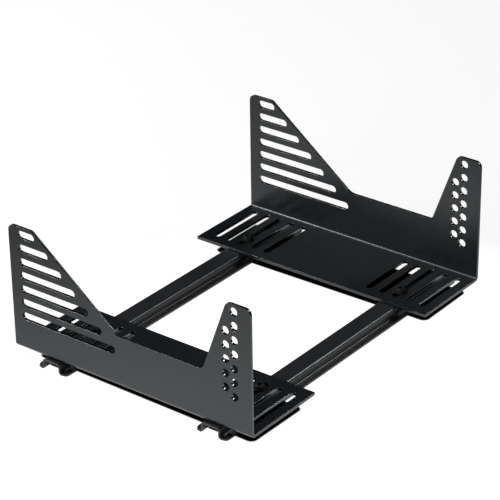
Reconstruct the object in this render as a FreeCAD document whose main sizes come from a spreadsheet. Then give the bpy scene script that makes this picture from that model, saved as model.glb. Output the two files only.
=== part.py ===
"""Side-mount frame of a racing seat.

Two bent steel side brackets carry the seat between them. Each one stands on two pressed
cross bars, and slides along them on four screws, to suit the width of the seat.

The origin lies on the surface that the bars stand on, midway between the brackets.
+Z is up, the seat faces -Y, and +X is the seat's left side.
"""
import FreeCAD, Part
import math
import os
import Sketcher

SIZES = (
    # side bracket: a sheet bent up along its outer edge
    ("bracket_length", 370),
    ("bracket_spread", 484),
    ("sheet", 4),
    ("bend_inside", 2),
    ("flange_width", 124),
    ("tower_height", 170.5),
    ("web_height", 69.5),
    ("front_tower_top", 37.4),
    ("front_tower_slope", 37.7),
    ("rear_tower_top", 35),
    ("rear_tower_slope", 70),
    ("tower_corner", 8),
    ("front_foot_round", 20),
    ("rear_foot_round", 7),
    # rows of slots and holes for the seat's side bolts
    ("row_count", 7),
    ("row_pitch", 18.75),
    ("first_row", 48.3),
    ("tower_slot_width", 10.5),
    ("tower_slot_margin", 15),
    ("top_slot_length", 26.6),
    ("slot_growth", 20.5),
    ("seat_hole", 11),
    ("rear_column_margin", 24.5),
    ("column_gap", 12.8),
    ("inner_row_count", 5),
    # slots across the flange, for the frame screws
    ("flange_slot_count", 5),
    ("flange_slot_width", 9),
    ("flange_slot_length", 91.5),
    ("flange_slot_pitch", 20.5),
    ("flange_slot_inset", 16),
    ("front_group_margin", 20.5),
    ("rear_group_margin", 18),
    ("slots_outside_bar_count", 2),
    ("outward_travel", 12),
    # cross bar: a top-hat section, open underneath
    ("bar_overhang", 3.75),
    ("bar_sheet", 2.5),
    ("bar_height", 14.5),
    ("bar_top_width", 28),
    ("bar_lip", 10),
    ("bar_bend_inside", 1.5),
    ("bar_corner", 8),
    ("bar_screw_hole", 9),
    ("lip_hole", 6.5),
    ("lip_hole_margin", 12),
    # running gap between the brackets and what they slide on
    ("slide_gap", 0.25),
    # hardware
    ("screw_size", 8),
    ("screw_length", 20),
    ("head_width", 14),
    ("head_height", 4.4),
    ("head_flat", 7.2),
    ("head_rim", 1.4),
    ("socket_width", 5),
    ("socket_depth", 2.8),
    ("washer_width", 16),
    ("washer_hole", 8.4),
    ("washer_sheet", 1.6),
    ("nut_width", 13),
    ("nut_height", 8),
    ("nut_hex_height", 6),
    ("nut_collar_width", 11.6),
    ("thread_gap", 0.05),
)

# heights of the stack, from the floor up, as formulas of the sheet's values
FLANGE_BOTTOM = "(sizes.bar_height + sizes.slide_gap)"
WASHER_BOTTOM = f"({FLANGE_BOTTOM} + sizes.sheet + sizes.slide_gap)"
HEAD_BOTTOM = f"({WASHER_BOTTOM} + sizes.washer_sheet)"
BAR_CEILING = "(sizes.bar_height - sizes.bar_sheet)"
NUT_TOP = f"({BAR_CEILING} - sizes.washer_sheet)"

# places along the bracket, from the middle of its length
HALF_LENGTH = "sizes.bracket_length / 2"
SLOTS_TO_BAR = "sizes.slots_outside_bar_count * sizes.flange_slot_pitch"
FRONT_BAR = f"(sizes.front_group_margin + {SLOTS_TO_BAR} - {HALF_LENGTH})"
REAR_BAR = f"({HALF_LENGTH} - sizes.rear_group_margin - {SLOTS_TO_BAR})"

# places across the frame, from its middle: the inmost place that a frame screw can have in
# its slot, the screw itself, and the ends of the cross bars
SLOT_INNER_CENTRE = (
    "(sizes.bracket_spread / 2 - sizes.flange_width + sizes.flange_slot_inset"
    " + sizes.flange_slot_width / 2)"
)
SCREW_PLACE = f"({SLOT_INNER_CENTRE} + sizes.outward_travel)"
BAR_END = "(sizes.bracket_spread / 2 + sizes.bar_overhang)"

doc = FreeCAD.newDocument("seat_side_mount")


def make_sheet():
    """The driving dimensions, in millimetres and degrees."""
    sheet = doc.addObject("Spreadsheet::Sheet", "sizes")
    for row, (name, value) in enumerate(SIZES, start=1):
        sheet.set(f"A{row}", name)
        sheet.set(f"B{row}", str(value))
        sheet.setAlias(f"B{row}", name)
    doc.recompute()
    return sheet


SHEET = make_sheet()


def size(text):
    """The present value of a formula of the sheet's values."""
    return float(SHEET.evalExpression(text))


def new_body(name):
    """An empty body, named as its node."""
    body = doc.addObject("PartDesign::Body", name)
    body.Label = name
    return body


def new_sketch(body, name, role, offset=None):
    """A sketch on one of the body's own origin planes, raised off it by a formula."""
    sketch = body.newObject("Sketcher::SketchObject", name)
    plane = next(item for item in body.Origin.OriginFeatures if item.Role == role)
    sketch.AttachmentSupport = [(plane, "")]
    sketch.MapMode = "FlatFace"
    if offset:
        sketch.setExpression("AttachmentOffset.Base.z", offset)
    return sketch


def bind(sketch, kind, references, text):
    """A dimension of the sketch that follows a formula."""
    index = sketch.addConstraint(Sketcher.Constraint(kind, *references, size(text)))
    sketch.setExpression(f"Constraints[{index}]", text)


def pin_point(sketch, geometry, end, across, up):
    """Place one end or the centre of a curve, from the sketch's origin."""
    bind(sketch, "DistanceX", (-1, 1, geometry, end), across)
    bind(sketch, "DistanceY", (-1, 1, geometry, end), up)


def draw_outline(sketch, corners):
    """A closed outline with straight sides, each corner placed by two formulas."""
    points = [FreeCAD.Vector(size(across), size(up), 0) for across, up in corners]
    first = sketch.GeometryCount
    for index, point in enumerate(points):
        following = points[(index + 1) % len(points)]
        sketch.addGeometry(Part.LineSegment(point, following), False)
    for index, (across, up) in enumerate(corners):
        following = first + (index + 1) % len(corners)
        sketch.addConstraint(Sketcher.Constraint("Coincident", first + index, 2, following, 1))
        pin_point(sketch, first + index, 1, across, up)


def draw_circle(sketch, across, up, width):
    """A round hole, given by its centre and its diameter."""
    centre = FreeCAD.Vector(size(across), size(up), 0)
    circle = Part.Circle(centre, FreeCAD.Vector(0, 0, 1), size(width) / 2)
    index = sketch.addGeometry(circle, False)
    pin_point(sketch, index, 3, across, up)
    bind(sketch, "Diameter", (index,), width)


def draw_slot(sketch, start, finish, up, width):
    """A level slot with round ends; start and finish are its two outermost points."""
    radius = size(width) / 2
    height = size(up)
    left = size(start) + radius
    right = size(finish) - radius
    normal = FreeCAD.Vector(0, 0, 1)
    quarter = math.pi / 2

    def end_arc(centre, begin):
        circle = Part.Circle(FreeCAD.Vector(centre, height, 0), normal, radius)
        return Part.ArcOfCircle(circle, begin, begin + math.pi)

    def side(begin, end, rise):
        return Part.LineSegment(
            FreeCAD.Vector(begin, height + rise, 0), FreeCAD.Vector(end, height + rise, 0)
        )

    first = sketch.GeometryCount
    curves = (
        end_arc(left, quarter),
        side(left, right, -radius),
        end_arc(right, -quarter),
        side(right, left, radius),
    )
    for curve in curves:
        sketch.addGeometry(curve, False)
    for index in range(4):
        following = first + (index + 1) % 4
        sketch.addConstraint(Sketcher.Constraint("Tangent", first + index, 2, following, 1))
    sketch.addConstraint(Sketcher.Constraint("Equal", first, first + 2))
    bind(sketch, "Diameter", (first,), width)
    pin_point(sketch, first, 3, f"{start} + {width} / 2", up)
    pin_point(sketch, first + 2, 3, f"{finish} - {width} / 2", up)


def pad(body, sketch, length, midplane=False, reverse=False):
    """Extrude a sketch, to one side or evenly to both."""
    feature = body.newObject("PartDesign::Pad", f"{sketch.Name}_pad")
    feature.Profile = sketch
    feature.Midplane = midplane
    feature.Reversed = reverse
    feature.setExpression("Length", length)
    sketch.Visibility = False
    doc.recompute()
    return feature


def pocket(body, sketch, length, midplane=False):
    """Cut a sketch into the body, and make sure that it removed something."""
    before = body.Shape.Volume
    feature = body.newObject("PartDesign::Pocket", f"{sketch.Name}_pocket")
    feature.Profile = sketch
    feature.Midplane = midplane
    feature.setExpression("Length", length)
    doc.recompute()
    if not body.Shape.Volume < before:
        raise RuntimeError(f"{feature.Name} cuts nothing")
    return feature


def repeat(body, feature, axis_role, length, count, reverse=False):
    """Repeat a cut in a straight row; length is from the first to the last."""
    before = body.Shape.Volume
    row = body.newObject("PartDesign::LinearPattern", f"{feature.Name}_row")
    row.Originals = [feature]
    axis = next(item for item in body.Origin.OriginFeatures if item.Role == axis_role)
    row.Direction = (axis, [""])
    row.Reversed = reverse
    row.setExpression("Length", length)
    row.setExpression("Occurrences", count)
    body.Tip = row
    doc.recompute()
    if not body.Shape.Volume < before:
        raise RuntimeError(f"{row.Name} repeats nothing")
    return row


def edges_along(shape, direction, places):
    """Names of the straight edges that run along a direction through the given places."""
    reach = 0.05
    names = []
    for number, edge in enumerate(shape.Edges, start=1):
        if edge.Curve.TypeId != "Part::GeomLine":
            continue
        start, end = (vertex.Point for vertex in edge.Vertexes)
        if (end - start).normalize().cross(direction).Length > 0.001:
            continue
        middle = (start + end) / 2
        for place in places:
            offset = middle - place
            if offset.cross(direction).Length < reach and abs(offset.dot(direction)) < edge.Length:
                names.append(f"Edge{number}")
                break
    return names


def round_edges(body, name, base, edges, radius):
    """Round the named edges of a feature."""
    if not edges:
        raise RuntimeError(f"{name} finds no edge")
    feature = body.newObject("PartDesign::Fillet", name)
    feature.Base = (base, edges)
    feature.setExpression("Radius", radius)
    doc.recompute()
    return feature


def make_left_bracket():
    """Side bracket, seen along its length as an L.

    Its own origin is at the outer face, at the underside of the flange, in the middle of
    the length. The flange reaches inwards, towards -X.
    """
    body = new_body("left_bracket")

    # the bent sheet, at the towers' full height
    section = new_sketch(body, "bent_sheet", "XZ_Plane")
    draw_outline(section, (
        ("0", "0"),
        ("0", "sizes.tower_height"),
        ("-sizes.sheet", "sizes.tower_height"),
        ("-sizes.sheet", "sizes.sheet"),
        ("-sizes.flange_width", "sizes.sheet"),
        ("-sizes.flange_width", "0"),
    ))
    blank = pad(body, section, "sizes.bracket_length", midplane=True)
    along_y = FreeCAD.Vector(0, 1, 0)
    inner_corner = FreeCAD.Vector(-size("sizes.sheet"), 0, size("sizes.sheet"))
    inner_bend = round_edges(
        body, "inner_bend", blank, edges_along(blank.Shape, along_y, [inner_corner]),
        "sizes.bend_inside",
    )
    round_edges(
        body, "outer_bend", inner_bend,
        edges_along(inner_bend.Shape, along_y, [FreeCAD.Vector(0, 0, 0)]),
        "sizes.bend_inside + sizes.sheet",
    )

    # the notch that leaves a long sloping tower in front and a narrow one behind
    rise = "(sizes.tower_height - sizes.web_height)"
    front_top = f"sizes.front_tower_top - {HALF_LENGTH}"
    front_foot = f"{front_top} + {rise} / tan(sizes.front_tower_slope * 1deg)"
    rear_top = f"{HALF_LENGTH} - sizes.rear_tower_top"
    rear_foot = f"{rear_top} - {rise} / tan(sizes.rear_tower_slope * 1deg)"
    notch = new_sketch(body, "notch", "YZ_Plane")
    draw_outline(notch, (
        (front_top, "sizes.tower_height"),
        (front_foot, "sizes.web_height"),
        (rear_foot, "sizes.web_height"),
        (rear_top, "sizes.tower_height"),
    ))
    towers = pocket(body, notch, "2 * sizes.flange_width", midplane=True)

    # rounded corners of the towers, and the rounds at their feet
    along_x = FreeCAD.Vector(1, 0, 0)
    middle_x = -size("sizes.sheet") / 2
    top = size("sizes.tower_height")
    low = size("sizes.web_height")
    corners = [
        FreeCAD.Vector(middle_x, size(place), top)
        for place in (f"-{HALF_LENGTH}", front_top, rear_top, HALF_LENGTH)
    ]
    rounded = round_edges(
        body, "tower_corners", towers, edges_along(towers.Shape, along_x, corners),
        "sizes.tower_corner",
    )
    for name, foot, radius in (
        ("front_foot", front_foot, "sizes.front_foot_round"),
        ("rear_foot", rear_foot, "sizes.rear_foot_round"),
    ):
        place = FreeCAD.Vector(middle_x, size(foot), low)
        rounded = round_edges(
            body, name, rounded, edges_along(rounded.Shape, along_x, [place]), radius
        )

    # level slots of the front tower, longer from row to row down the slope
    slots = new_sketch(body, "tower_slots", "YZ_Plane")
    start = f"sizes.tower_slot_margin - {HALF_LENGTH}"
    for row in range(int(size("sizes.row_count"))):
        below_top = f"(sizes.row_count - 1 - {row})"
        finish = f"{start} + sizes.top_slot_length + {below_top} * sizes.slot_growth"
        height = f"sizes.first_row + {row} * sizes.row_pitch"
        draw_slot(slots, start, finish, height, "sizes.tower_slot_width")
    pocket(body, slots, "4 * sizes.sheet", midplane=True)

    # two columns of round holes in the rear tower, half a row apart
    column = f"{HALF_LENGTH} - sizes.rear_column_margin"
    for name, place, height, count in (
        ("rear_column", column, "sizes.first_row", "sizes.row_count"),
        ("inner_column", f"{column} - sizes.column_gap",
         "sizes.first_row + sizes.row_pitch / 2", "sizes.inner_row_count"),
    ):
        hole = new_sketch(body, name, "YZ_Plane")
        draw_circle(hole, place, height, "sizes.seat_hole")
        first = pocket(body, hole, "4 * sizes.sheet", midplane=True)
        repeat(body, first, "Z_Axis", f"({count} - 1) * sizes.row_pitch", count)

    # slots across the flange, a group at each end
    inner_end = "sizes.flange_slot_inset - sizes.flange_width"
    for name, place, backwards in (
        ("front_slots", f"sizes.front_group_margin - {HALF_LENGTH}", False),
        ("rear_slots", f"{HALF_LENGTH} - sizes.rear_group_margin", True),
    ):
        slot = new_sketch(body, name, "XY_Plane")
        draw_slot(
            slot, inner_end, f"{inner_end} + sizes.flange_slot_length", place,
            "sizes.flange_slot_width",
        )
        first = pocket(body, slot, "4 * sizes.sheet", midplane=True)
        repeat(
            body, first, "Y_Axis", "(sizes.flange_slot_count - 1) * sizes.flange_slot_pitch",
            "sizes.flange_slot_count", reverse=backwards,
        )

    body.setExpression("Placement.Base.x", "sizes.bracket_spread / 2")
    body.setExpression("Placement.Base.z", FLANGE_BOTTOM)
    doc.recompute()
    return body


def make_right_bracket(left):
    """The other hand of the side bracket."""
    mirror = doc.addObject("Part::Mirroring", "right_bracket")
    mirror.Label = "right_bracket"
    mirror.Source = left
    mirror.Base = FreeCAD.Vector(0, 0, 0)
    mirror.Normal = FreeCAD.Vector(1, 0, 0)
    return mirror


def make_cross_bar(name, place):
    """Cross bar pressed from sheet: a raised middle and two lips that stand on the floor."""
    body = new_body(name)
    wall = "(sizes.bar_top_width / 2)"
    lip = f"({wall} + sizes.bar_lip)"
    inside = f"({wall} - sizes.bar_sheet)"
    section = new_sketch(body, f"{name}_section", "YZ_Plane")
    right_half = (
        (lip, "0"),
        (lip, "sizes.bar_sheet"),
        (wall, "sizes.bar_sheet"),
        (wall, "sizes.bar_height"),
    )
    hollow = (
        (inside, "0"),
        (inside, BAR_CEILING),
    )
    outline = right_half + tuple((f"-{across}", up) for across, up in reversed(right_half))
    outline += tuple((f"-{across}", up) for across, up in hollow)
    outline += tuple(reversed(hollow))
    draw_outline(section, outline)
    bar = pad(body, section, f"2 * {BAR_END}", midplane=True)

    # press bends, tight inside and a sheet wider outside
    along_x = FreeCAD.Vector(1, 0, 0)
    edge = size(wall)
    floor = size("sizes.bar_sheet")
    top = size("sizes.bar_height")
    tight = [
        FreeCAD.Vector(0, side * across, up)
        for side in (-1, 1)
        for across, up in ((edge, floor), (size(inside), size(BAR_CEILING)))
    ]
    wide = [
        FreeCAD.Vector(0, side * across, up)
        for side in (-1, 1)
        for across, up in ((edge, top), (size(inside), 0))
    ]
    bent = round_edges(
        body, f"{name}_tight_bends", bar, edges_along(bar.Shape, along_x, tight),
        "sizes.bar_bend_inside",
    )
    bent = round_edges(
        body, f"{name}_wide_bends", bent, edges_along(bent.Shape, along_x, wide),
        "sizes.bar_bend_inside + sizes.bar_sheet",
    )

    # the lips' rounded ends
    upright = FreeCAD.Vector(0, 0, 1)
    end = size(BAR_END)
    tips = [
        FreeCAD.Vector(side * end, face * size(lip), floor / 2)
        for side in (-1, 1)
        for face in (-1, 1)
    ]
    round_edges(
        body, f"{name}_lip_ends", bent, edges_along(bent.Shape, upright, tips),
        "sizes.bar_corner",
    )

    # holes for the frame screws in the raised middle, and fixing holes in the lips
    holes = new_sketch(body, f"{name}_holes", "XY_Plane")
    lip_middle = f"({wall} + sizes.bar_lip / 2)"
    for side in ("", "-"):
        draw_circle(holes, f"{side}{SCREW_PLACE}", "0", "sizes.bar_screw_hole")
        lip_end = f"{side}({BAR_END} - sizes.lip_hole_margin)"
        draw_circle(holes, lip_end, lip_middle, "sizes.lip_hole")
        draw_circle(holes, lip_end, f"-{lip_middle}", "sizes.lip_hole")
    pocket(body, holes, "4 * sizes.bar_height", midplane=True)

    body.setExpression("Placement.Base.y", place)
    return body


def draw_hexagon(sketch, width):
    """A hexagon about the origin, given by its width across the flats."""
    corner = f"({width} / 2 / cos(30deg))"
    draw_outline(sketch, tuple(
        (f"{corner} * cos({angle}deg)", f"{corner} * sin({angle}deg)")
        for angle in range(0, 360, 60)
    ))


def turn_round(body, sketch):
    """Add a profile turned about the upright axis."""
    feature = body.newObject("PartDesign::Revolution", f"{sketch.Name}_turned")
    feature.Profile = sketch
    axis = next(item for item in body.Origin.OriginFeatures if item.Role == "Z_Axis")
    feature.ReferenceAxis = (axis, [""])
    feature.Angle = 360
    doc.recompute()
    return feature


def make_screw(name):
    """Button-head screw; its own origin is under the head, and the thread points down."""
    body = new_body(name)
    profile = new_sketch(body, f"{name}_profile", "XZ_Plane")
    draw_outline(profile, (
        ("0", "-sizes.screw_length"),
        ("sizes.screw_size / 2", "-sizes.screw_length"),
        ("sizes.screw_size / 2", "0"),
        ("sizes.head_width / 2", "0"),
        ("sizes.head_width / 2", "sizes.head_rim"),
        ("sizes.head_flat / 2", "sizes.head_height"),
        ("0", "sizes.head_height"),
    ))
    turn_round(body, profile)
    socket = new_sketch(body, f"{name}_socket", "XY_Plane", "sizes.head_height")
    draw_hexagon(socket, "sizes.socket_width")
    pocket(body, socket, "sizes.socket_depth")
    return body


def make_washer(name):
    """Flat washer; its own origin is in the middle underneath."""
    body = new_body(name)
    outline = new_sketch(body, f"{name}_outline", "XY_Plane")
    draw_circle(outline, "0", "0", "sizes.washer_width")
    draw_circle(outline, "0", "0", "sizes.washer_hole")
    pad(body, outline, "sizes.washer_sheet")
    return body


def make_lock_nut(name):
    """Hexagon nut with a round locking collar; it hangs down from its bearing face."""
    body = new_body(name)
    collar = new_sketch(body, f"{name}_collar", "XY_Plane")
    draw_circle(collar, "0", "0", "sizes.nut_collar_width")
    pad(body, collar, "sizes.nut_height", reverse=True)
    hexagon = new_sketch(body, f"{name}_hexagon", "XY_Plane")
    draw_hexagon(hexagon, "sizes.nut_width")
    pad(body, hexagon, "sizes.nut_hex_height", reverse=True)
    bore = new_sketch(body, f"{name}_bore", "XY_Plane")
    draw_circle(bore, "0", "0", "sizes.screw_size + 2 * sizes.thread_gap")
    pocket(body, bore, "4 * sizes.nut_height", midplane=True)
    return body


def place_at_crossing(body, side, place, height, turn=0):
    """Put a piece of hardware on a crossing; side is + or - for left or right."""
    body.Placement.Rotation = FreeCAD.Rotation(FreeCAD.Vector(0, 0, 1), turn)
    body.setExpression("Placement.Base.x", f"{side}{SCREW_PLACE}")
    body.setExpression("Placement.Base.y", place)
    body.setExpression("Placement.Base.z", height)


def make_hardware():
    """At each crossing a screw clamps the flange to the bar, with a washer on both sides."""
    crossings = (
        ("front_left", "", FRONT_BAR, 12),
        ("front_right", "-", FRONT_BAR, 41),
        ("rear_left", "", REAR_BAR, 27),
        ("rear_right", "-", REAR_BAR, 5),
    )
    pieces = []
    for name, side, place, turn in crossings:
        for build, kind, height, angle in (
            (make_screw, "screw", HEAD_BOTTOM, turn),
            (make_washer, "flange_washer", WASHER_BOTTOM, 0),
            (make_washer, "bar_washer", NUT_TOP, 0),
            (make_lock_nut, "lock_nut", NUT_TOP, turn / 2),
        ):
            piece = build(f"{name}_{kind}")
            place_at_crossing(piece, side, place, height, angle)
            pieces.append(piece)
    return pieces


def check_and_export(pieces):
    """Stop on any failed object, then write each piece to its own file."""
    doc.recompute()
    for item in doc.Objects:
        if "Invalid" in item.State or "Error" in item.State:
            raise RuntimeError(f"{item.Name} failed: {item.State}")
    os.makedirs("parts", exist_ok=True)
    for piece in pieces:
        shape = piece.Shape
        if shape.isNull() or not shape.isValid() or len(shape.Solids) != 1:
            raise RuntimeError(f"{piece.Label} is not one valid solid")
        box = shape.BoundBox
        print(
            f"{piece.Label}: {shape.Volume:.0f} mm3,"
            f" X {box.XMin:.2f} to {box.XMax:.2f},"
            f" Y {box.YMin:.2f} to {box.YMax:.2f},"
            f" Z {box.ZMin:.2f} to {box.ZMax:.2f}"
        )
        shape.exportStep(f"parts/{piece.Label}.step")


left_bracket = make_left_bracket()
check_and_export([
    left_bracket,
    make_right_bracket(left_bracket),
    make_cross_bar("front_cross_bar", FRONT_BAR),
    make_cross_bar("rear_cross_bar", REAR_BAR),
    *make_hardware(),
])
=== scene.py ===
"""Looks of the racing seat's side-mount frame: two folded side brackets on two pressed cross
bars, all in matte black powder coat, with black hardware at the four crossings.

The pieces' sizes are in millimetres. The room, the lamps and the camera's distance are in metres.
"""

import math

import bmesh
import bpy
from mathutils import Matrix, Vector


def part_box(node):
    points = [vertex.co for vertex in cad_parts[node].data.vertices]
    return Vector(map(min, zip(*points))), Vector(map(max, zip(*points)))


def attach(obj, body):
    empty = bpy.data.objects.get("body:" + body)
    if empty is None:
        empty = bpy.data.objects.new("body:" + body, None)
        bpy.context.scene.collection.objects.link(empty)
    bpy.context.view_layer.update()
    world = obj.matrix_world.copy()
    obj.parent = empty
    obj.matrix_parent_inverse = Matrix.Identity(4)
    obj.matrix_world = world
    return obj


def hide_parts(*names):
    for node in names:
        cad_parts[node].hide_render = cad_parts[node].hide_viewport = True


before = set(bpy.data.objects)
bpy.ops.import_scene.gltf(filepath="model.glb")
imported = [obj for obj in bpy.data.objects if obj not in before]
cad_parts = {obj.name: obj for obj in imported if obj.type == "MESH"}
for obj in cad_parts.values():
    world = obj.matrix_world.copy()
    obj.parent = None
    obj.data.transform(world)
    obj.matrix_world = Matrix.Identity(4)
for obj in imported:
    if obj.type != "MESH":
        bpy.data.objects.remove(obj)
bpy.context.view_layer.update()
MM = 0.001

# Cross bars
# Each bar is pressed from 2.5 mm steel sheet into a top hat: a raised middle that the
# brackets rest on, two walls and two lips that stand on the floor. The blank is cut with its
# holes first, then folded, and coated in black powder.

BAR_SHEET = 2.5
BAR_BEND_INSIDE = 1.5
BAR_LIP_CORNER = 8
BAR_TOP_WIDTH = 28
BAR_LIP = 10
BAR_LIP_HOLE = 6.5
BAR_LIP_HOLE_MARGIN = 12
BAR_SCREW_HOLE = 9
BAR_WALL_MID = (BAR_TOP_WIDTH - BAR_SHEET) / 2
BAR_MID_RADIUS = BAR_BEND_INSIDE + BAR_SHEET / 2
EDGE_ROUND = 0.25

# How near counts as the same point, as on a fold line and as on the sheet's face, and how far
# outside a hole its softened edge may reach.
WELD_REACH = 0.002
SPLIT_REACH = 0.0005
FACE_REACH = 0.01
HOLE_BORDER = 1


def box_mm(node):
    """The lowest and the highest corner of a node, in millimetres."""
    low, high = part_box(node)
    return Vector(low) / MM, Vector(high) / MM


def middle_mm(node):
    """The middle of a node's box, in millimetres."""
    low, high = box_mm(node)
    return (low + high) / 2


def rounded_outline(corners, steps=7):
    """Points of a closed outline; each corner is (across, along, radius)."""
    points = []
    count = len(corners)
    for index, (across, along, radius) in enumerate(corners):
        corner = Vector((across, along))
        before = Vector(corners[index - 1][:2]) - corner
        after = Vector(corners[(index + 1) % count][:2]) - corner
        before.normalize()
        after.normalize()
        half = before.angle(after) / 2
        centre = corner + (before + after).normalized() * radius / math.sin(half)
        start = corner + before * radius / math.tan(half) - centre
        finish = corner + after * radius / math.tan(half) - centre
        turn = start.angle_signed(finish)
        for step in range(steps + 1):
            spoke = start.copy()
            spoke.rotate(Matrix.Rotation(-turn * step / steps, 2))
            points.append(centre + spoke)
    return points


def round_hole(across, along, width, steps=32):
    """Points of a round hole in the blank."""
    centre = Vector((across, along))
    angles = [2 * math.pi * step / steps for step in range(steps)]
    return [centre + Vector((math.cos(angle), math.sin(angle))) * width / 2 for angle in angles]


def straight_slot(start, finish, width, steps=12):
    """Points of a slot with round ends; start and finish are its two end centres."""
    start, finish = Vector(start), Vector(finish)
    heading = (finish - start).normalized()
    side = Vector((-heading.y, heading.x))
    points = []
    for centre, sign in ((finish, 1), (start, -1)):
        for step in range(steps + 1):
            angle = math.pi * step / steps
            spoke = -side * math.cos(angle) + heading * math.sin(angle)
            points.append(centre + spoke * sign * width / 2)
    return points


def blank_length(runs):
    """How wide the flat blank is along its mid-surface."""
    return sum(run[1] if run[0] == "flat" else abs(run[1]) * run[2] for run in runs)


def folded(place, proud, start, runs):
    """Where a point of the blank lands: its place in the section and the sheet's normal there.

    Runs are ("flat", length) or ("bend", angle, mid radius); proud counts from mid-surface.
    """
    spot = Vector(start)
    heading = Vector((1, 0))
    for run in runs:
        normal = Vector((-heading.y, heading.x))
        if run[0] == "flat":
            if place <= run[1] or run is runs[-1]:
                return spot + heading * place + normal * proud, normal
            spot += heading * run[1]
            place -= run[1]
            continue
        angle, radius = run[1], run[2]
        sign = math.copysign(1, angle)
        centre = spot + normal * sign * radius
        share = min(place / radius, abs(angle))
        spoke = -normal * sign
        spoke.rotate(Matrix.Rotation(sign * share, 2))
        if place <= abs(angle) * radius:
            return centre + spoke * (radius - sign * proud), -spoke * sign
        spot = centre + spoke * radius
        heading.rotate(Matrix.Rotation(angle, 2))
        place -= abs(angle) * radius


def cut_and_fold(name, outlines, sheet, start, runs, place_in_frame, bend_steps=6):
    """A sheet-metal piece: a flat blank with softened cut edges, folded into shape.

    The first outline is the blank's edge and the rest are holes. place_in_frame turns
    (across the section, up the section, along the piece) into the frame's millimetres.
    """
    curve = bpy.data.curves.new(f"{name}_blank", "CURVE")
    curve.dimensions = "2D"
    curve.fill_mode = "BOTH"
    curve.extrude = sheet / 2 - EDGE_ROUND
    curve.bevel_depth = EDGE_ROUND
    curve.bevel_resolution = 2
    curve.offset = -EDGE_ROUND
    for outline in outlines:
        spline = curve.splines.new("POLY")
        spline.points.add(len(outline) - 1)
        for point, corner in zip(spline.points, outline):
            point.co = (corner.x, corner.y, 0, 1)
        spline.use_cyclic_u = True
    flat = bpy.data.objects.new(f"{name}_flat", curve)
    blank = bpy.data.meshes.new_from_object(flat)
    bpy.data.objects.remove(flat)
    bpy.data.curves.remove(curve)

    work = bmesh.new()
    work.from_mesh(blank)
    bpy.data.meshes.remove(blank)
    bmesh.ops.remove_doubles(work, verts=work.verts, dist=WELD_REACH)
    reached = 0
    for run in runs:
        if run[0] == "flat":
            reached += run[1]
            continue
        width = abs(run[1]) * run[2]
        for step in range(bend_steps + 1):
            bmesh.ops.bisect_plane(
                work, geom=work.verts[:] + work.edges[:] + work.faces[:], dist=SPLIT_REACH,
                plane_co=(reached + width * step / bend_steps, 0, 0), plane_no=(1, 0, 0),
            )
        reached += width

    # The cut edges outside and the walls of holes are marked apart: the outer edges get the coat's
    # lighter edge colour, partly wear and partly painted sheen, and faces on hole walls get a
    # near-black coat, painted shade in the holes.
    hole_boxes = [
        (min(point.x for point in hole) - HOLE_BORDER, max(point.x for point in hole) + HOLE_BORDER,
         min(point.y for point in hole) - HOLE_BORDER, max(point.y for point in hole) + HOLE_BORDER)
        for hole in outlines[1:]
    ]
    outer_edge = work.verts.layers.float.new("cut_edge")
    hole_wall = work.verts.layers.float.new("hole_wall")
    face_normals = {}
    for vertex in work.verts:
        along, proud = vertex.co.y, vertex.co.z
        on_face = abs(proud) > sheet / 2 - FACE_REACH
        if not on_face:
            in_hole = any(
                low < vertex.co.x < high and left < along < right
                for low, high, left, right in hole_boxes
            )
            vertex[hole_wall if in_hole else outer_edge] = 1.0
        (across, up), facing = folded(vertex.co.x, proud, start, runs)
        vertex.co = Vector(place_in_frame(across, up, along)) * MM
        if on_face:
            tip = Vector(place_in_frame(across + facing.x, up + facing.y, along)) * MM
            face_normals[vertex.index] = (tip - vertex.co).normalized() * math.copysign(1, proud)
    bmesh.ops.recalc_face_normals(work, faces=work.faces)
    if work.calc_volume(signed=True) < 0:
        bmesh.ops.reverse_faces(work, faces=work.faces)

    for face in work.faces:
        face.material_index = int(all(vertex[hole_wall] > 0.5 for vertex in face.verts))

    mesh = bpy.data.meshes.new(name)
    work.to_mesh(mesh)
    work.free()
    mesh.shade_smooth()
    mesh.normals_split_custom_set_from_vertices([
        face_normals.get(vertex.index, vertex.normal.copy()) for vertex in mesh.vertices
    ])
    piece = bpy.data.objects.new(name, mesh)
    bpy.context.scene.collection.objects.link(piece)
    return piece


def new_group(name, inputs, outputs):
    """An empty shader node group with named sockets, and its own input and output nodes."""
    group = bpy.data.node_groups.new(name, "ShaderNodeTree")
    for label, kind, default in inputs:
        socket = group.interface.new_socket(label, in_out="INPUT", socket_type=kind)
        socket.default_value = default
    for label, kind in outputs:
        group.interface.new_socket(label, in_out="OUTPUT", socket_type=kind)
    return group, group.nodes.new("NodeGroupInput"), group.nodes.new("NodeGroupOutput")


def noise(nodes, links, place, scale, detail, roughness=0.5):
    """A noise texture over the piece's own coordinates."""
    texture = nodes.new("ShaderNodeTexNoise")
    texture.inputs["Scale"].default_value = scale
    texture.inputs["Detail"].default_value = detail
    texture.inputs["Roughness"].default_value = roughness
    links.new(place, texture.inputs["Vector"])
    return texture.outputs["Fac"]


def maths(nodes, links, operation, first, second):
    """A math node; each of its two values is a socket or a number."""
    node = nodes.new("ShaderNodeMath")
    node.operation = operation
    for socket, value in zip(node.inputs, (first, second)):
        if isinstance(value, (int, float)):
            socket.default_value = value
        else:
            links.new(value, socket)
    return node.outputs[0]


def spread_range(nodes, links, value, low, high, out_low, out_high):
    """Map a value from one range to another, clamped."""
    node = nodes.new("ShaderNodeMapRange")
    links.new(value, node.inputs["Value"])
    for label, number in (
        ("From Min", low), ("From Max", high), ("To Min", out_low), ("To Max", out_high),
    ):
        node.inputs[label].default_value = number
    return node.outputs["Result"]


def scaled_colour(nodes, links, colour, share):
    """A colour made lighter or darker by a factor; both are sockets."""
    node = nodes.new("ShaderNodeVectorMath")
    node.operation = "SCALE"
    links.new(colour, node.inputs[0])
    links.new(share, node.inputs["Scale"])
    return node.outputs["Vector"]


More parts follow.
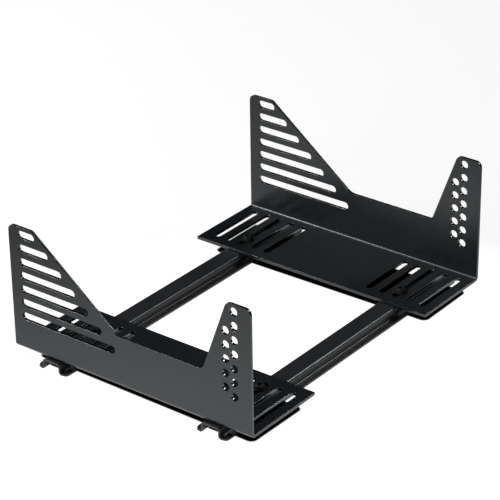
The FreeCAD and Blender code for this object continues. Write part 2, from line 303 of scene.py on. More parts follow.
def blend_colours(nodes, links, mask, first, second):
    """Mix two colours by a mask; all three are sockets."""
    node = nodes.new("ShaderNodeMix")
    node.data_type = "RGBA"
    links.new(mask, node.inputs["Factor"])
    # This node's colour sockets come after its number and vector sockets.
    links.new(first, node.inputs[6])
    links.new(second, node.inputs[7])
    return node.outputs[2]


def relief(nodes, links, height):
    """The normal of a surface whose fine relief is given in millimetres."""
    bump = nodes.new("ShaderNodeBump")
    bump.inputs["Distance"].default_value = MM
    links.new(height, bump.inputs["Height"])
    return bump.outputs["Normal"]


NOISE_SPAN = (0.3, 0.7)
GRAIN_SCALE = 1400
FLOW_SCALE = 160
CLOUD_SCALE = 14
GRAIN_SHADE = (0.88, 1.12)
CLOUD_SHADE = (0.88, 1.12)
CLOUD_ROUGHNESS = (-0.05, 0.05)
WEAR_AND_SHEEN_SPAN = (0.35, 0.6)
WEAR_AND_SHEEN_SHARE = (0.35, 1.0)
FLOW_HEIGHT = 2.5


def build_powder_coat_group():
    """Powder coat: fine grain with flow marks, shinier on the cut edges, where a lighter colour
    stands partly for thinner, worn coat and partly for a painted sheen.
    """
    group, entry, leave = new_group(
        "powder_coat",
        (
            ("Colour", "NodeSocketColor", (0.02, 0.02, 0.02, 1)),
            ("Edge Wear And Sheen Colour", "NodeSocketColor", (0.05, 0.05, 0.05, 1)),
            ("Roughness", "NodeSocketFloat", 0.5),
            ("Edge Roughness", "NodeSocketFloat", 0.35),
            ("Grain Height", "NodeSocketFloat", 0.02),
        ),
        (
            ("Colour", "NodeSocketColor"),
            ("Roughness", "NodeSocketFloat"),
            ("Normal", "NodeSocketVector"),
        ),
    )
    nodes, links = group.nodes, group.links
    place = nodes.new("ShaderNodeTexCoord").outputs["Object"]
    grain = noise(nodes, links, place, GRAIN_SCALE, detail=3, roughness=0.6)
    flow = noise(nodes, links, place, FLOW_SCALE, detail=2)
    cloud = noise(nodes, links, place, CLOUD_SCALE, detail=4, roughness=0.6)
    cut_edge = nodes.new("ShaderNodeAttribute")
    cut_edge.attribute_name = "cut_edge"
    patchy = spread_range(nodes, links, flow, *WEAR_AND_SHEEN_SPAN, *WEAR_AND_SHEEN_SHARE)
    edge_wear_and_sheen = maths(nodes, links, "MULTIPLY", cut_edge.outputs["Fac"], patchy)

    clouded = spread_range(nodes, links, cloud, *NOISE_SPAN, *CLOUD_SHADE)
    grained = spread_range(nodes, links, grain, *NOISE_SPAN, *GRAIN_SHADE)
    shade = maths(nodes, links, "MULTIPLY", clouded, grained)
    tinted = scaled_colour(nodes, links, entry.outputs["Colour"], shade)
    # On the cut edges the colour turns lighter: partly worn, thinner coat and partly a painted
    # sheen.
    colour = blend_colours(nodes, links, edge_wear_and_sheen, tinted, entry.outputs["Edge Wear And Sheen Colour"])
    links.new(colour, leave.inputs["Colour"])

    uneven = spread_range(nodes, links, cloud, *NOISE_SPAN, *CLOUD_ROUGHNESS)
    broad = maths(nodes, links, "ADD", entry.outputs["Roughness"], uneven)
    gap = maths(nodes, links, "SUBTRACT", entry.outputs["Edge Roughness"], broad)
    rough = maths(nodes, links, "ADD", broad, maths(nodes, links, "MULTIPLY", gap, edge_wear_and_sheen))
    links.new(rough, leave.inputs["Roughness"])

    flowed = maths(nodes, links, "MULTIPLY", flow, FLOW_HEIGHT)
    height = maths(nodes, links, "ADD", grain, flowed)
    height = maths(nodes, links, "MULTIPLY", height, entry.outputs["Grain Height"])
    links.new(relief(nodes, links, height), leave.inputs["Normal"])
    return group


powder_coat_group = build_powder_coat_group()


def surface_finish(name, group, values, specular, tint=(1, 1, 1)):
    """A finish whose colour, roughness and relief come from a shared group, by its own values."""
    material = bpy.data.materials.new(name)
    material.use_nodes = True
    nodes, links = material.node_tree.nodes, material.node_tree.links
    shader = nodes["Principled BSDF"]
    coat = nodes.new("ShaderNodeGroup")
    coat.node_tree = group
    for label, value in values.items():
        coat.inputs[label].default_value = value
    links.new(coat.outputs["Colour"], shader.inputs["Base Color"])
    links.new(coat.outputs["Roughness"], shader.inputs["Roughness"])
    links.new(coat.outputs["Normal"], shader.inputs["Normal"])
    shader.inputs["Specular IOR Level"].default_value = specular
    shader.inputs["Specular Tint"].default_value = (*tint, 1)
    return material


POWDER_TINT = (0.92, 0.97, 1.0)

bar_coat = surface_finish("bar_coat", powder_coat_group, {
    "Colour": (0.013, 0.0138, 0.015, 1),
    "Edge Wear And Sheen Colour": (0.014, 0.0148, 0.016, 1),
    "Roughness": 0.36,
    "Edge Roughness": 0.32,
    "Grain Height": 0.02,
}, specular=0.44, tint=POWDER_TINT)
# The walls of holes and slots get a near-black colour, darker than the faces: painted shade in the
# holes, with a strong sheen.
hole_painted_shade = surface_finish("hole_painted_shade", powder_coat_group, {
    "Colour": (0.003, 0.003, 0.0035, 1),
    "Edge Wear And Sheen Colour": (0.003, 0.003, 0.0035, 1),
    "Roughness": 0.22,
    "Edge Roughness": 0.22,
    "Grain Height": 0.01,
}, specular=1.0, tint=POWDER_TINT)


def build_cross_bar(name, screws):
    """A top-hat bar along X, with a hole for each frame screw and four in the lips."""
    low, high = box_mm(name)
    centre = (low + high) / 2
    lip_edge = (high.y - low.y) / 2
    lip_flat = lip_edge - BAR_WALL_MID - BAR_MID_RADIUS
    wall_flat = high.z - low.z - BAR_SHEET - 2 * BAR_MID_RADIUS
    top_flat = 2 * (BAR_WALL_MID - BAR_MID_RADIUS)
    quarter = math.pi / 2
    runs = (
        ("flat", lip_flat), ("bend", quarter, BAR_MID_RADIUS),
        ("flat", wall_flat), ("bend", -quarter, BAR_MID_RADIUS),
        ("flat", top_flat), ("bend", -quarter, BAR_MID_RADIUS),
        ("flat", wall_flat), ("bend", quarter, BAR_MID_RADIUS),
        ("flat", lip_flat),
    )
    width = blank_length(runs)
    end = high.x
    outlines = [rounded_outline((
        (0, -end, BAR_LIP_CORNER), (width, -end, BAR_LIP_CORNER),
        (width, end, BAR_LIP_CORNER), (0, end, BAR_LIP_CORNER),
    ))]
    lip_hole_end = end - BAR_LIP_HOLE_MARGIN
    for side in (-1, 1):
        for across in (BAR_LIP / 2, width - BAR_LIP / 2):
            outlines.append(round_hole(across, side * lip_hole_end, BAR_LIP_HOLE, steps=20))
    for screw in screws:
        outlines.append(round_hole(width / 2, middle_mm(screw).x, BAR_SCREW_HOLE, steps=24))

    def place_in_frame(across, up, along):
        return along, centre.y + across, low.z + up

    bar = cut_and_fold(
        f"{name}_pressing", outlines, BAR_SHEET, (-lip_edge, BAR_SHEET / 2), runs, place_in_frame
    )
    bar.data.materials.append(bar_coat)
    bar.data.materials.append(hole_painted_shade)
    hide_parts(name)
    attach(bar, "cross_bars")
    return bar


front_bar = build_cross_bar("front_cross_bar", ("front_left_screw", "front_right_screw"))
rear_bar = build_cross_bar("rear_cross_bar", ("rear_left_screw", "rear_right_screw"))

# Side brackets
# Each is one laser-cut blank of 4 mm steel, folded up along its outer edge. The front tower
# is cut with slots and the rear one with holes for the seat's side bolts, and the flange with
# slots for the frame screws. Both hands are coated in the same matte black powder.

SHEET = 4
BEND_INSIDE = 2
WEB_HEIGHT = 69.5
FRONT_TOWER_TOP = 37.4
FRONT_TOWER_SLOPE = math.radians(37.7)
REAR_TOWER_TOP = 35
REAR_TOWER_SLOPE = math.radians(70)
TOWER_CORNER = 8
FRONT_FOOT_ROUND = 20
REAR_FOOT_ROUND = 7
FLANGE_CORNER = 0.8
ROW_COUNT = 7
ROW_PITCH = 18.75
FIRST_ROW = 48.3
TOWER_SLOT_WIDTH = 10.5
TOWER_SLOT_MARGIN = 15
TOP_SLOT_LENGTH = 26.6
SLOT_GROWTH = 20.5
SEAT_HOLE = 11
REAR_COLUMN_MARGIN = 24.5
COLUMN_GAP = 12.8
INNER_ROW_COUNT = 5
FLANGE_SLOT_COUNT = 5
FLANGE_SLOT_WIDTH = 9
FLANGE_SLOT_LENGTH = 91.5
FLANGE_SLOT_PITCH = 20.5
FLANGE_SLOT_INSET = 16
FRONT_GROUP_MARGIN = 20.5
REAR_GROUP_MARGIN = 18

bracket_coat = surface_finish("bracket_coat", powder_coat_group, {
    "Colour": (0.0055, 0.0067, 0.008, 1),
    "Edge Wear And Sheen Colour": (0.007, 0.008, 0.0095, 1),
    "Roughness": 0.32,
    "Edge Roughness": 0.22,
    "Grain Height": 0.02,
}, specular=0.55, tint=POWDER_TINT)


def build_bracket(node, body, side):
    """A side bracket; side is 1 for the left one and -1 for the right one."""
    low, high = box_mm(node)
    flange_width = high.x - low.x
    half_length = (high.y - low.y) / 2
    tower_height = high.z - low.z
    outer_face = max(abs(low.x), abs(high.x))
    mid_radius = BEND_INSIDE + SHEET / 2
    tangent = BEND_INSIDE + SHEET
    runs = (
        ("flat", flange_width - tangent),
        ("bend", math.pi / 2, mid_radius),
        ("flat", tower_height - tangent),
    )
    web_zero = blank_length(runs) - tower_height

    rise = tower_height - WEB_HEIGHT
    front_top = FRONT_TOWER_TOP - half_length
    front_foot = front_top + rise / math.tan(FRONT_TOWER_SLOPE)
    rear_top = half_length - REAR_TOWER_TOP
    rear_foot = rear_top - rise / math.tan(REAR_TOWER_SLOPE)
    top = web_zero + tower_height
    web = web_zero + WEB_HEIGHT
    outlines = [rounded_outline((
        (0, -half_length, FLANGE_CORNER), (top, -half_length, TOWER_CORNER),
        (top, front_top, TOWER_CORNER), (web, front_foot, FRONT_FOOT_ROUND),
        (web, rear_foot, REAR_FOOT_ROUND), (top, rear_top, TOWER_CORNER),
        (top, half_length, TOWER_CORNER), (0, half_length, FLANGE_CORNER),
    ))]

    radius = TOWER_SLOT_WIDTH / 2
    slot_start = TOWER_SLOT_MARGIN - half_length
    for row in range(ROW_COUNT):
        across = web_zero + FIRST_ROW + row * ROW_PITCH
        finish = slot_start + TOP_SLOT_LENGTH + (ROW_COUNT - 1 - row) * SLOT_GROWTH
        outlines.append(straight_slot(
            (across, slot_start + radius), (across, finish - radius), TOWER_SLOT_WIDTH
        ))
    column = half_length - REAR_COLUMN_MARGIN
    for row in range(ROW_COUNT):
        across = web_zero + FIRST_ROW + row * ROW_PITCH
        outlines.append(round_hole(across, column, SEAT_HOLE))
    for row in range(INNER_ROW_COUNT):
        across = web_zero + FIRST_ROW + (row + 0.5) * ROW_PITCH
        outlines.append(round_hole(across, column - COLUMN_GAP, SEAT_HOLE))
    slot_round = FLANGE_SLOT_WIDTH / 2
    for step in range(FLANGE_SLOT_COUNT):
        for along in (
            FRONT_GROUP_MARGIN - half_length + step * FLANGE_SLOT_PITCH,
            half_length - REAR_GROUP_MARGIN - step * FLANGE_SLOT_PITCH,
        ):
            outlines.append(straight_slot(
                (FLANGE_SLOT_INSET + slot_round, along),
                (FLANGE_SLOT_INSET + FLANGE_SLOT_LENGTH - slot_round, along),
                FLANGE_SLOT_WIDTH,
            ))

    def place_in_frame(across, up, along):
        return side * (outer_face + across), along, low.z + up

    bracket = cut_and_fold(
        f"{node}_folded", outlines, SHEET, (-flange_width, SHEET / 2), runs, place_in_frame
    )
    bracket.data.materials.append(bracket_coat)
    bracket.data.materials.append(hole_painted_shade)
    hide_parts(node)
    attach(bracket, body)
    return bracket


left_bracket = build_bracket("left_bracket", "left_side", 1)
right_bracket = build_bracket("right_bracket", "right_side", -1)

# Frame screws, washers and lock nuts
# At each crossing an M8 button-head screw in black oxide clamps the flange to the bar. A
# stamped washer spreads the load on each side, and a lock nut sits inside the hollow bar.

SCREW_SIZE = 8
THREAD_PITCH = 1.25
THREAD_DEPTH = 0.6
THREAD_LENGTH = 6
THREAD_POINT = (1.1, 0.5)
HEAD_FLAT = 7.2
HEAD_RIM = 0.7
HEAD_EDGE = 0.25
HEAD_SWELL = 1.1
HEAD_FILLET = (0.3, 0.4)
SOCKET_WIDTH = 5
SOCKET_DEPTH = 2.8
SOCKET_MOUTH = (0.5, 0.3)
DRILL_POINT = 0.7
DRILL_SHARE = 0.55
SHARP_ANGLE = math.radians(32)


def turned(name, rings, steps):
    """A closed piece lofted through rings about the upright axis, in millimetres.

    Each ring is (radius, height), and either may be a function of the angle. A first and last
    ring of radius 0 close the piece on the axis, otherwise the last ring joins the first.
    """
    work = bmesh.new()
    loops = []
    for radius, height in rings:
        if radius == 0:
            loops.append([work.verts.new((0, 0, height))])
            continue
        loop = []
        for step in range(steps):
            angle = 2 * math.pi * step / steps
            reach = radius(angle) if callable(radius) else radius
            rise = height(angle) if callable(height) else height
            loop.append(work.verts.new((reach * math.cos(angle), reach * math.sin(angle), rise)))
        loops.append(loop)
    closed = len(loops[0]) > 1
    pairs = list(zip(loops, loops[1:]))
    if closed:
        pairs.append((loops[-1], loops[0]))
    for first, second in pairs:
        for step in range(steps):
            following = (step + 1) % steps
            corners = (first[step % len(first)], first[following % len(first)],
                       second[following % len(second)], second[step % len(second)])
            work.faces.new(list(dict.fromkeys(corners)))
    bmesh.ops.recalc_face_normals(work, faces=work.faces)
    mesh = bpy.data.meshes.new(name)
    work.to_mesh(mesh)
    work.free()
    mesh.shade_smooth()
    mesh.set_sharp_from_angle(angle=SHARP_ANGLE)
    piece = bpy.data.objects.new(name, mesh)
    bpy.context.scene.collection.objects.link(piece)
    return piece


def wrench_turn(node):
    """Each screw and nut stops at a turn of its own, in radians."""
    return math.radians(sum(map(ord, node)) % 60)


def hexagon(width, turn):
    """The radius of a hexagon as a function of the angle."""
    def reach(angle):
        part = (angle - turn + math.pi / 6) % (math.pi / 3) - math.pi / 6
        return width / 2 / math.cos(part)
    return reach


def thread(height):
    """The radius of a thread at a height, as a function of the angle."""
    def reach(angle):
        phase = (height / THREAD_PITCH - angle / (2 * math.pi)) % 1
        return SCREW_SIZE / 2 - THREAD_DEPTH * abs(2 * phase - 1)
    return reach


MARK_SCALE = 2600
MOTTLE_SCALE = 380
MOTTLE_SHADE = (0.75, 1.3)
MOTTLE_ROUGHNESS = (-0.07, 0.07)
DULL_SPECULAR = 0.12


def build_dark_plating_group():
    """Plated or oxidised steel: fine tumbling marks and a faint mottle."""
    group, entry, leave = new_group(
        "dark_plating",
        (
            ("Colour", "NodeSocketColor", (0.02, 0.02, 0.02, 1)),
            ("Roughness", "NodeSocketFloat", 0.35),
            ("Mark Height", "NodeSocketFloat", 0.01),
        ),
        (
            ("Colour", "NodeSocketColor"),
            ("Roughness", "NodeSocketFloat"),
            ("Normal", "NodeSocketVector"),
        ),
    )
    nodes, links = group.nodes, group.links
    place = nodes.new("ShaderNodeTexCoord").outputs["Object"]
    marks = noise(nodes, links, place, MARK_SCALE, detail=2, roughness=0.7)
    mottle = noise(nodes, links, place, MOTTLE_SCALE, detail=3, roughness=0.6)
    shade = spread_range(nodes, links, mottle, *NOISE_SPAN, *MOTTLE_SHADE)
    colour = scaled_colour(nodes, links, entry.outputs["Colour"], shade)
    links.new(colour, leave.inputs["Colour"])
    uneven = spread_range(nodes, links, mottle, *NOISE_SPAN, *MOTTLE_ROUGHNESS)
    rough = maths(nodes, links, "ADD", entry.outputs["Roughness"], uneven)
    links.new(rough, leave.inputs["Roughness"])
    height = maths(nodes, links, "MULTIPLY", marks, entry.outputs["Mark Height"])
    links.new(relief(nodes, links, height), leave.inputs["Normal"])
    return group


dark_plating_group = build_dark_plating_group()
black_oxide = surface_finish("black_oxide", dark_plating_group, {
    "Colour": (0.007, 0.0075, 0.008, 1),
    "Roughness": 0.65,
    "Mark Height": 0.012,
}, specular=DULL_SPECULAR)
black_zinc = surface_finish("black_zinc", dark_plating_group, {
    "Colour": (0.009, 0.009, 0.01, 1),
    "Roughness": 0.65,
    "Mark Height": 0.01,
}, specular=DULL_SPECULAR)
nylon = surface_finish("black_nylon", dark_plating_group, {
    "Colour": (0.02, 0.022, 0.03, 1),
    "Roughness": 0.5,
    "Mark Height": 0.006,
}, specular=DULL_SPECULAR)


def seat_piece(piece, node, height, material):
    """Put a turned piece over its node's middle, at a height, and let it stand for the node."""
    centre = middle_mm(node)
    piece.data.transform(Matrix.Scale(MM, 4) @ Matrix.Translation((centre.x, centre.y, height)))
    piece.data.materials.append(material)
    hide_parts(node)
    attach(piece, "cross_bars")


def build_screw(node):
    """Button head with a hexagon socket, and a threaded shank down to the nut's far side."""
    low, high = box_mm(node)
    head_base = box_mm(node.replace("screw", "flange_washer"))[1].z
    head_height = high.z - head_base
    head_radius = (high.x - low.x) / 2
    shank_radius = SCREW_SIZE / 2
    shank_end = low.z - head_base
    socket_floor = head_height - SOCKET_DEPTH
    mouth_growth, mouth_depth = SOCKET_MOUTH
    socket = hexagon(SOCKET_WIDTH, wrench_turn(node))
    socket_mouth = hexagon(SOCKET_WIDTH + mouth_growth, wrench_turn(node))
    rings = [
        (0, socket_floor - DRILL_POINT),
        (SOCKET_WIDTH / 2 * DRILL_SHARE, socket_floor - DRILL_POINT / 2),
        (socket, socket_floor), (socket, head_height - mouth_depth),
        (socket_mouth, head_height), (HEAD_FLAT / 2, head_height),
    ]
    dome_steps = 7
    for step in range(1, dome_steps + 1):
        angle = math.pi / 2 * step / dome_steps
        across = HEAD_FLAT / 2 + (head_radius - HEAD_FLAT / 2) * math.sin(angle) ** HEAD_SWELL
        rings.append((across, HEAD_RIM + (head_height - HEAD_RIM) * math.cos(angle)))
    fillet_width, fillet_height = HEAD_FILLET
    point_depth, point_height = THREAD_POINT
    thread_top = shank_end + THREAD_LENGTH
    rings += [
        (head_radius, HEAD_EDGE), (head_radius - HEAD_EDGE, 0),
        (shank_radius + fillet_width, 0), (shank_radius, -fillet_height),
        (shank_radius, thread_top + fillet_height),
    ]
    thread_rows = 40
    for row in range(thread_rows + 1):
        height = thread_top + (shank_end + point_height - thread_top) * row / thread_rows
        rings.append((thread(height), height))
    rings += [(shank_radius - point_depth, shank_end), (0, shank_end)]
    screw = turned(f"{node}_turned", rings, steps=60)
    seat_piece(screw, node, head_base, black_oxide)


WASHER_HOLE = 8.4
WASHER_LEAD_IN = (0.15, 0.2)
WASHER_HOLE_ROUND = 0.3
WASHER_RIM_ROUND = 0.45
WASHER_RIM_SHOULDER = 0.13
WASHER_LOWER_ROUND = 0.1


def build_washer(node):
    """A stamped ring, rounded above by the die and nearly sharp below."""
    low, high = box_mm(node)
    radius = (high.x - low.x) / 2
    hole = WASHER_HOLE / 2
    thick = high.z - low.z
    lead_across, lead_up = WASHER_LEAD_IN
    rings = (
        (hole, lead_up), (hole + lead_across, 0),
        (radius - WASHER_LOWER_ROUND, 0), (radius, WASHER_LOWER_ROUND),
        (radius, thick - WASHER_RIM_ROUND),
        (radius - WASHER_RIM_SHOULDER, thick - WASHER_RIM_SHOULDER),
        (radius - WASHER_RIM_ROUND, thick),
        (hole + WASHER_HOLE_ROUND, thick), (hole, thick - WASHER_HOLE_ROUND),
    )
    washer = turned(f"{node}_ring", rings, steps=56)
    seat_piece(washer, node, low.z, black_zinc)


NUT_WIDTH = 13
NUT_HEX_HEIGHT = 6
NUT_COLLAR_WIDTH = 11.6
NUT_FACE_SHARE = 0.97
NUT_CHAMFER = math.tan(math.radians(30))
NUT_BORE_GAP = 0.02
NUT_LEAD_IN = 0.5
COLLAR_STEP = 0.05
COLLAR_ROUND = 0.9
COLLAR_SHOULDER = (0.25, 0.3)
COLLAR_LIP = (0.1, 0.3)
NYLON_SEAT = (1.0, 1.6)
NYLON_GAP = (0.02, 0.05)
NYLON_CROWN = ((0, 0.45), (0.9, 0.35), (0.98, 0.5))


def build_lock_nut(node):
    """A hexagon with turned-down corners, a locking collar and the nylon ring inside it."""
    low, high = box_mm(node)
    bore = SCREW_SIZE / 2 + NUT_BORE_GAP
    hex_radius = hexagon(NUT_WIDTH, wrench_turn(node))
    face = NUT_WIDTH / 2 * NUT_FACE_SHARE
    collar = NUT_COLLAR_WIDTH / 2
    end = low.z - high.z
    shoulder_across, shoulder_up = COLLAR_SHOULDER
    lip_across, lip_up = COLLAR_LIP
    seat_width, seat_height = NYLON_SEAT
    seat_edge, seat_top = bore + seat_width, end + seat_height
    gap_across, gap_up = NYLON_GAP
    ring_edge, ring_top = seat_edge - gap_across, seat_top - gap_up

    def upper(angle):
        return -(hex_radius(angle) - face) * NUT_CHAMFER

    def lower(angle):
        return -NUT_HEX_HEIGHT - upper(angle)

    nut = turned(f"{node}_turned", (
        (bore, -NUT_LEAD_IN), (bore + NUT_LEAD_IN, 0), (face, 0), (hex_radius, upper),
        (hex_radius, lower), (face, -NUT_HEX_HEIGHT), (collar, -NUT_HEX_HEIGHT - COLLAR_STEP),
        (collar, end + COLLAR_ROUND), (collar - shoulder_across, end + shoulder_up),
        (collar - COLLAR_ROUND, end), (seat_edge + lip_across, end), (seat_edge, end + lip_up),
        (seat_edge, seat_top), (bore, seat_top),
    ), steps=72)
    seat_piece(nut, node, high.z, black_zinc)
    crown = [(bore + across, end + up) for across, up in NYLON_CROWN]
    ring = turned(
        f"{node}_nylon_ring", (*crown, (ring_edge, ring_top), (bore, ring_top)), steps=48
    )
    seat_piece(ring, node, high.z, nylon)


for crossing in ("front_left", "front_right", "rear_left", "rear_right"):
    build_screw(f"{crossing}_screw")
    build_washer(f"{crossing}_flange_washer")
    build_washer(f"{crossing}_bar_washer")
    build_lock_nut(f"{crossing}_lock_nut")

# Floor, light and camera
# A plain white floor, with black shadow painted into its colour in the low gap under each flange,
# under the bars' lips and in their hollow; the painted shadow moves with its piece. In reflections
# the floor glows brighter near the frame's middle, a painted pool of light. Four soft lamps light
# the frame, and the camera stands behind its left side, above and far away.

FLOOR_SIZE = 30
GAP_SHADOW_MIDDLE = (178.3, 6.8)
GAP_SHADOW_SIZE = (98.2, 340)
GAP_SHADOW_CORNER = 9
GAP_SHADOW_BLUR = 1.2
GAP_SHADOW_TURN = math.radians(0.7)

# The same shadow reaches further forward under the flange's second slot from the front:
# inner edge, outer edge and front edge on each side.
LEFT_FRONT_SHADOW = (112, 217, -167.2)
RIGHT_FRONT_SHADOW = (142, 222, -165.2)
FRONT_SHADOW_END = -130
FRONT_SHADOW_CORNER = 2

LIP_SHADOW_INSET = 1
LIP_SHADOW_CORNER = 4
TUNNEL_SHADOW_END = 234
TUNNEL_SHADOW_CORNER = 2
BAR_SHADOW_BLUR = 0.8

SHADOW_GREY = 0.004
SEEN_FLOOR_GREY = 0.2
FLOOR_GREY = 0.9
SEEN_GLOW = 0.8
# In reflections the floor glows brightest within 0.27 m of a point near the frame's middle and
# fades to 0.16 by 0.75 m: a painted pool of light.
GLOW_MIDDLE = (0.05, 0.15, 0)
GLOW_REACH = (0.27, 0.75)
GLOW_STRENGTH = (1.1, 0.16)

floor_mesh = bpy.data.meshes.new("floor")
floor_mesh.from_pydata(
    [(x * FLOOR_SIZE, y * FLOOR_SIZE, 0) for x, y in ((-1, -1), (1, -1), (1, 1), (-1, 1))],
    [], [(0, 1, 2, 3)],
)
floor = bpy.data.objects.new("floor", floor_mesh)
bpy.context.scene.collection.objects.link(floor)
floor_paint = bpy.data.materials.new("floor_paint")
floor_paint.use_nodes = True
nodes, links = floor_paint.node_tree.nodes, floor_paint.node_tree.links
nodes.clear()


def vector_maths(nodes, links, operation, first, second=None):
    """A vector math node; the second value is a tuple."""
    node = nodes.new("ShaderNodeVectorMath")
    node.operation = operation
    links.new(first, node.inputs[0])
    if second is not None:
        node.inputs[1].default_value = second
    return node.outputs["Value" if operation == "LENGTH" else "Vector"]


def diffuse(nodes, grey):
    """A plain diffuse shader of one grey."""
    node = nodes.new("ShaderNodeBsdfDiffuse")
    node.inputs["Color"].default_value = (grey, grey, grey, 1)
    return node.outputs["BSDF"]


def mixed(nodes, links, share, first, second):
    """One shader where the share is 0, and the other where it is 1."""
    node = nodes.new("ShaderNodeMixShader")
    links.new(share, node.inputs["Fac"])
    links.new(first, node.inputs[1])
    links.new(second, node.inputs[2])
    return node.outputs["Shader"]


def painted_shadow_patch(nodes, links, piece, middle, size, corner, blur, turn=0.0):
    """How far a floor point lies in the shadow painted under a piece, 0 to 1; it moves with the
    piece.

    The patch is a rectangle with round corners, its middle and size in millimetres.
    """
    place = nodes.new("ShaderNodeTexCoord")
    place.object = piece
    middle = (middle[0] * MM, middle[1] * MM, 0)
    turned_back = nodes.new("ShaderNodeVectorRotate")
    turned_back.inputs["Center"].default_value = middle
    turned_back.inputs["Angle"].default_value = turn
    links.new(place.outputs["Object"], turned_back.inputs["Vector"])
    straight = [(length / 2 - corner) * MM for length in size]
    out = vector_maths(nodes, links, "SUBTRACT", turned_back.outputs["Vector"], middle)
    out = vector_maths(nodes, links, "ABSOLUTE", out)
    out = vector_maths(nodes, links, "SUBTRACT", out, (*straight, 1))
    out = vector_maths(nodes, links, "MAXIMUM", out, (0, 0, 0))
    out = vector_maths(nodes, links, "LENGTH", out)
    return spread_range(nodes, links, out, (corner - blur) * MM, (corner + blur) * MM, 1.0, 0.0)


patches = []
for bracket, side, front_shadow in (
    (left_bracket, 1, LEFT_FRONT_SHADOW), (right_bracket, -1, RIGHT_FRONT_SHADOW),
):
    middle = (side * GAP_SHADOW_MIDDLE[0], GAP_SHADOW_MIDDLE[1])
    patches.append(painted_shadow_patch(
        nodes, links, bracket, middle, GAP_SHADOW_SIZE, GAP_SHADOW_CORNER, GAP_SHADOW_BLUR,
        side * GAP_SHADOW_TURN,
    ))
    inner, outer, front = front_shadow
    middle = (side * (inner + outer) / 2, (front + FRONT_SHADOW_END) / 2)
    size = (outer - inner, FRONT_SHADOW_END - front)
    patches.append(painted_shadow_patch(
        nodes, links, bracket, middle, size, FRONT_SHADOW_CORNER, GAP_SHADOW_BLUR
    ))
for bar, node in ((front_bar, "front_cross_bar"), (rear_bar, "rear_cross_bar")):
    low, high = box_mm(node)
    centre = middle_mm(node)
    lip_size = (high.x - low.x - 2 * LIP_SHADOW_INSET, BAR_LIP - LIP_SHADOW_INSET)
    for lip in (low.y + BAR_LIP / 2, high.y - BAR_LIP / 2):
        patches.append(painted_shadow_patch(
            nodes, links, bar, (centre.x, lip), lip_size, LIP_SHADOW_CORNER, BAR_SHADOW_BLUR
        ))
    tunnel_size = (2 * TUNNEL_SHADOW_END, high.y - low.y - 2 * BAR_LIP)
    patches.append(painted_shadow_patch(
        nodes, links, bar, centre, tunnel_size, TUNNEL_SHADOW_CORNER, BAR_SHADOW_BLUR
    ))
painted_shadow = patches[0]
for patch in patches[1:]:
    painted_shadow = maths(nodes, links, "MAXIMUM", painted_shadow, patch)

seen = nodes.new("ShaderNodeLightPath")
camera_ray = seen.outputs["Is Camera Ray"]
direct = maths(nodes, links, "MAXIMUM", camera_ray, seen.outputs["Is Glossy Ray"])
direct = maths(nodes, links, "MAXIMUM", direct, seen.outputs["Is Transmission Ray"])
position = nodes.new("ShaderNodeNewGeometry").outputs["Position"]
from_middle = vector_maths(nodes, links, "SUBTRACT", position, GLOW_MIDDLE)
far_off = vector_maths(nodes, links, "LENGTH", from_middle)
reflected_light_pool = spread_range(nodes, links, far_off, *GLOW_REACH, *GLOW_STRENGTH)
straight = maths(nodes, links, "MULTIPLY", camera_ray, SEEN_GLOW)
glow = nodes.new("ShaderNodeEmission")
links.new(maths(nodes, links, "MAXIMUM", reflected_light_pool, straight), glow.inputs["Strength"])
seen_floor = nodes.new("ShaderNodeAddShader")
links.new(glow.outputs["Emission"], seen_floor.inputs[0])
links.new(diffuse(nodes, SEEN_FLOOR_GREY), seen_floor.inputs[1])
lit_floor = mixed(
    nodes, links, direct, diffuse(nodes, FLOOR_GREY), seen_floor.outputs["Shader"]
)
# Inside the patches the floor's colour turns near black for every ray: a painted shadow.
surface = mixed(nodes, links, painted_shadow, lit_floor, diffuse(nodes, SHADOW_GREY))
leave = nodes.new("ShaderNodeOutputMaterial")
links.new(surface, leave.inputs["Surface"])
floor_mesh.materials.append(floor_paint)

SKY_LIGHT_FROM = (0.8, 0.3, 0.5)
SKY_SPAN = (-0.1, 0.8)
SKY_STRENGTH = (0.0, 0.1)

world = bpy.data.worlds.new("studio")
bpy.context.scene.world = world
world.use_nodes = True
nodes, links = world.node_tree.nodes, world.node_tree.links
toward = nodes.new("ShaderNodeVectorMath")
toward.operation = "DOT_PRODUCT"
toward.inputs[1].default_value = SKY_LIGHT_FROM
links.new(nodes.new("ShaderNodeTexCoord").outputs["Generated"], toward.inputs[0])
studio = spread_range(nodes, links, toward.outputs["Value"], *SKY_SPAN, *SKY_STRENGTH)
camera_ray = nodes.new("ShaderNodeLightPath").outputs["Is Camera Ray"]
sky = nodes["Background"]
links.new(maths(nodes, links, "MAXIMUM", studio, camera_ray), sky.inputs["Strength"])
sky.inputs["Color"].default_value = (1.0, 1.0, 1.0, 1)


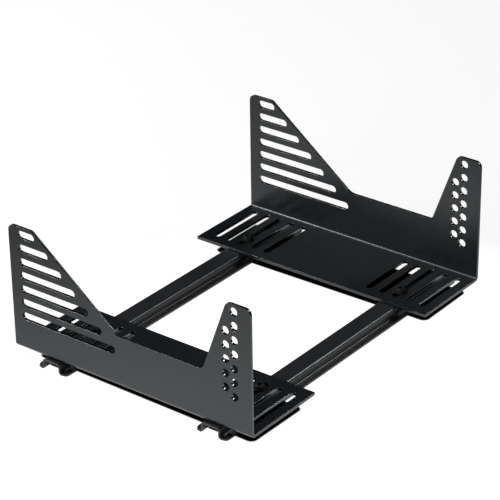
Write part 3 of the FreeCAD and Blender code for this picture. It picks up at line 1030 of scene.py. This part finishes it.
def add_softbox(name, azimuth, elevation, distance, size, power, aim=(0, 0, 0), spread=180):
    """A square soft lamp; azimuth counts from -Y towards +X, and its grid narrows the spread."""
    lamp = bpy.data.lights.new(name, "AREA")
    lamp.shape = "SQUARE"
    lamp.size = size
    lamp.energy = power
    lamp.spread = math.radians(spread)
    holder = bpy.data.objects.new(name, lamp)
    turn, lift = math.radians(azimuth), math.radians(elevation)
    ahead = math.cos(lift)
    way = Vector((math.sin(turn) * ahead, -math.cos(turn) * ahead, math.sin(lift)))
    holder.location = Vector(aim) + way * distance
    holder.rotation_euler = way.to_track_quat("Z", "Y").to_euler()
    bpy.context.scene.collection.objects.link(holder)


add_softbox("key", azimuth=17, elevation=50, distance=3.0, size=0.8, power=78)
add_softbox("front", azimuth=52, elevation=28, distance=3.0, size=1.4, power=14)
add_softbox("side", azimuth=95, elevation=22, distance=5.0, size=1.5, power=98)
add_softbox(
    "rim", azimuth=241, elevation=38, distance=2.5, size=0.55, power=0.68,
    aim=(0.16, 0.17, 0.08), spread=20,
)

CAMERA_AZIMUTH = math.radians(127.727)
CAMERA_ELEVATION = math.radians(27.808)
CAMERA_ROLL = math.radians(-0.73)
CAMERA_TARGET = Vector((-17.01, -3.54, 74.19)) * MM
CAMERA_DISTANCE = 2.9277
CAMERA_LENS = 166.225
SENSOR_WIDTH = 36
PHOTO_SIZE = 500
PHOTO_CENTRE = (257.9, 265.08)

outward = Vector((
    math.sin(CAMERA_AZIMUTH) * math.cos(CAMERA_ELEVATION),
    -math.cos(CAMERA_AZIMUTH) * math.cos(CAMERA_ELEVATION),
    math.sin(CAMERA_ELEVATION),
))
level = (-outward).cross(Vector((0, 0, 1))).normalized()
upright = level.cross(-outward)
right = level * math.cos(CAMERA_ROLL) + upright * math.sin(CAMERA_ROLL)
up = upright * math.cos(CAMERA_ROLL) - level * math.sin(CAMERA_ROLL)
lens = bpy.data.cameras.new("photo_camera")
lens.sensor_width = SENSOR_WIDTH
lens.lens = CAMERA_LENS
lens.shift_x = (PHOTO_SIZE / 2 - PHOTO_CENTRE[0]) / PHOTO_SIZE
lens.shift_y = (PHOTO_CENTRE[1] - PHOTO_SIZE / 2) / PHOTO_SIZE
camera = bpy.data.objects.new("photo_camera", lens)
camera.matrix_world = Matrix.Translation(CAMERA_TARGET + outward * CAMERA_DISTANCE) @ Matrix((
    (right.x, up.x, outward.x, 0),
    (right.y, up.y, outward.y, 0),
    (right.z, up.z, outward.z, 0),
    (0, 0, 0, 1),
))
bpy.context.scene.collection.objects.link(camera)
bpy.context.scene.camera = camera
bpy.context.scene.view_settings.view_transform = "Standard"
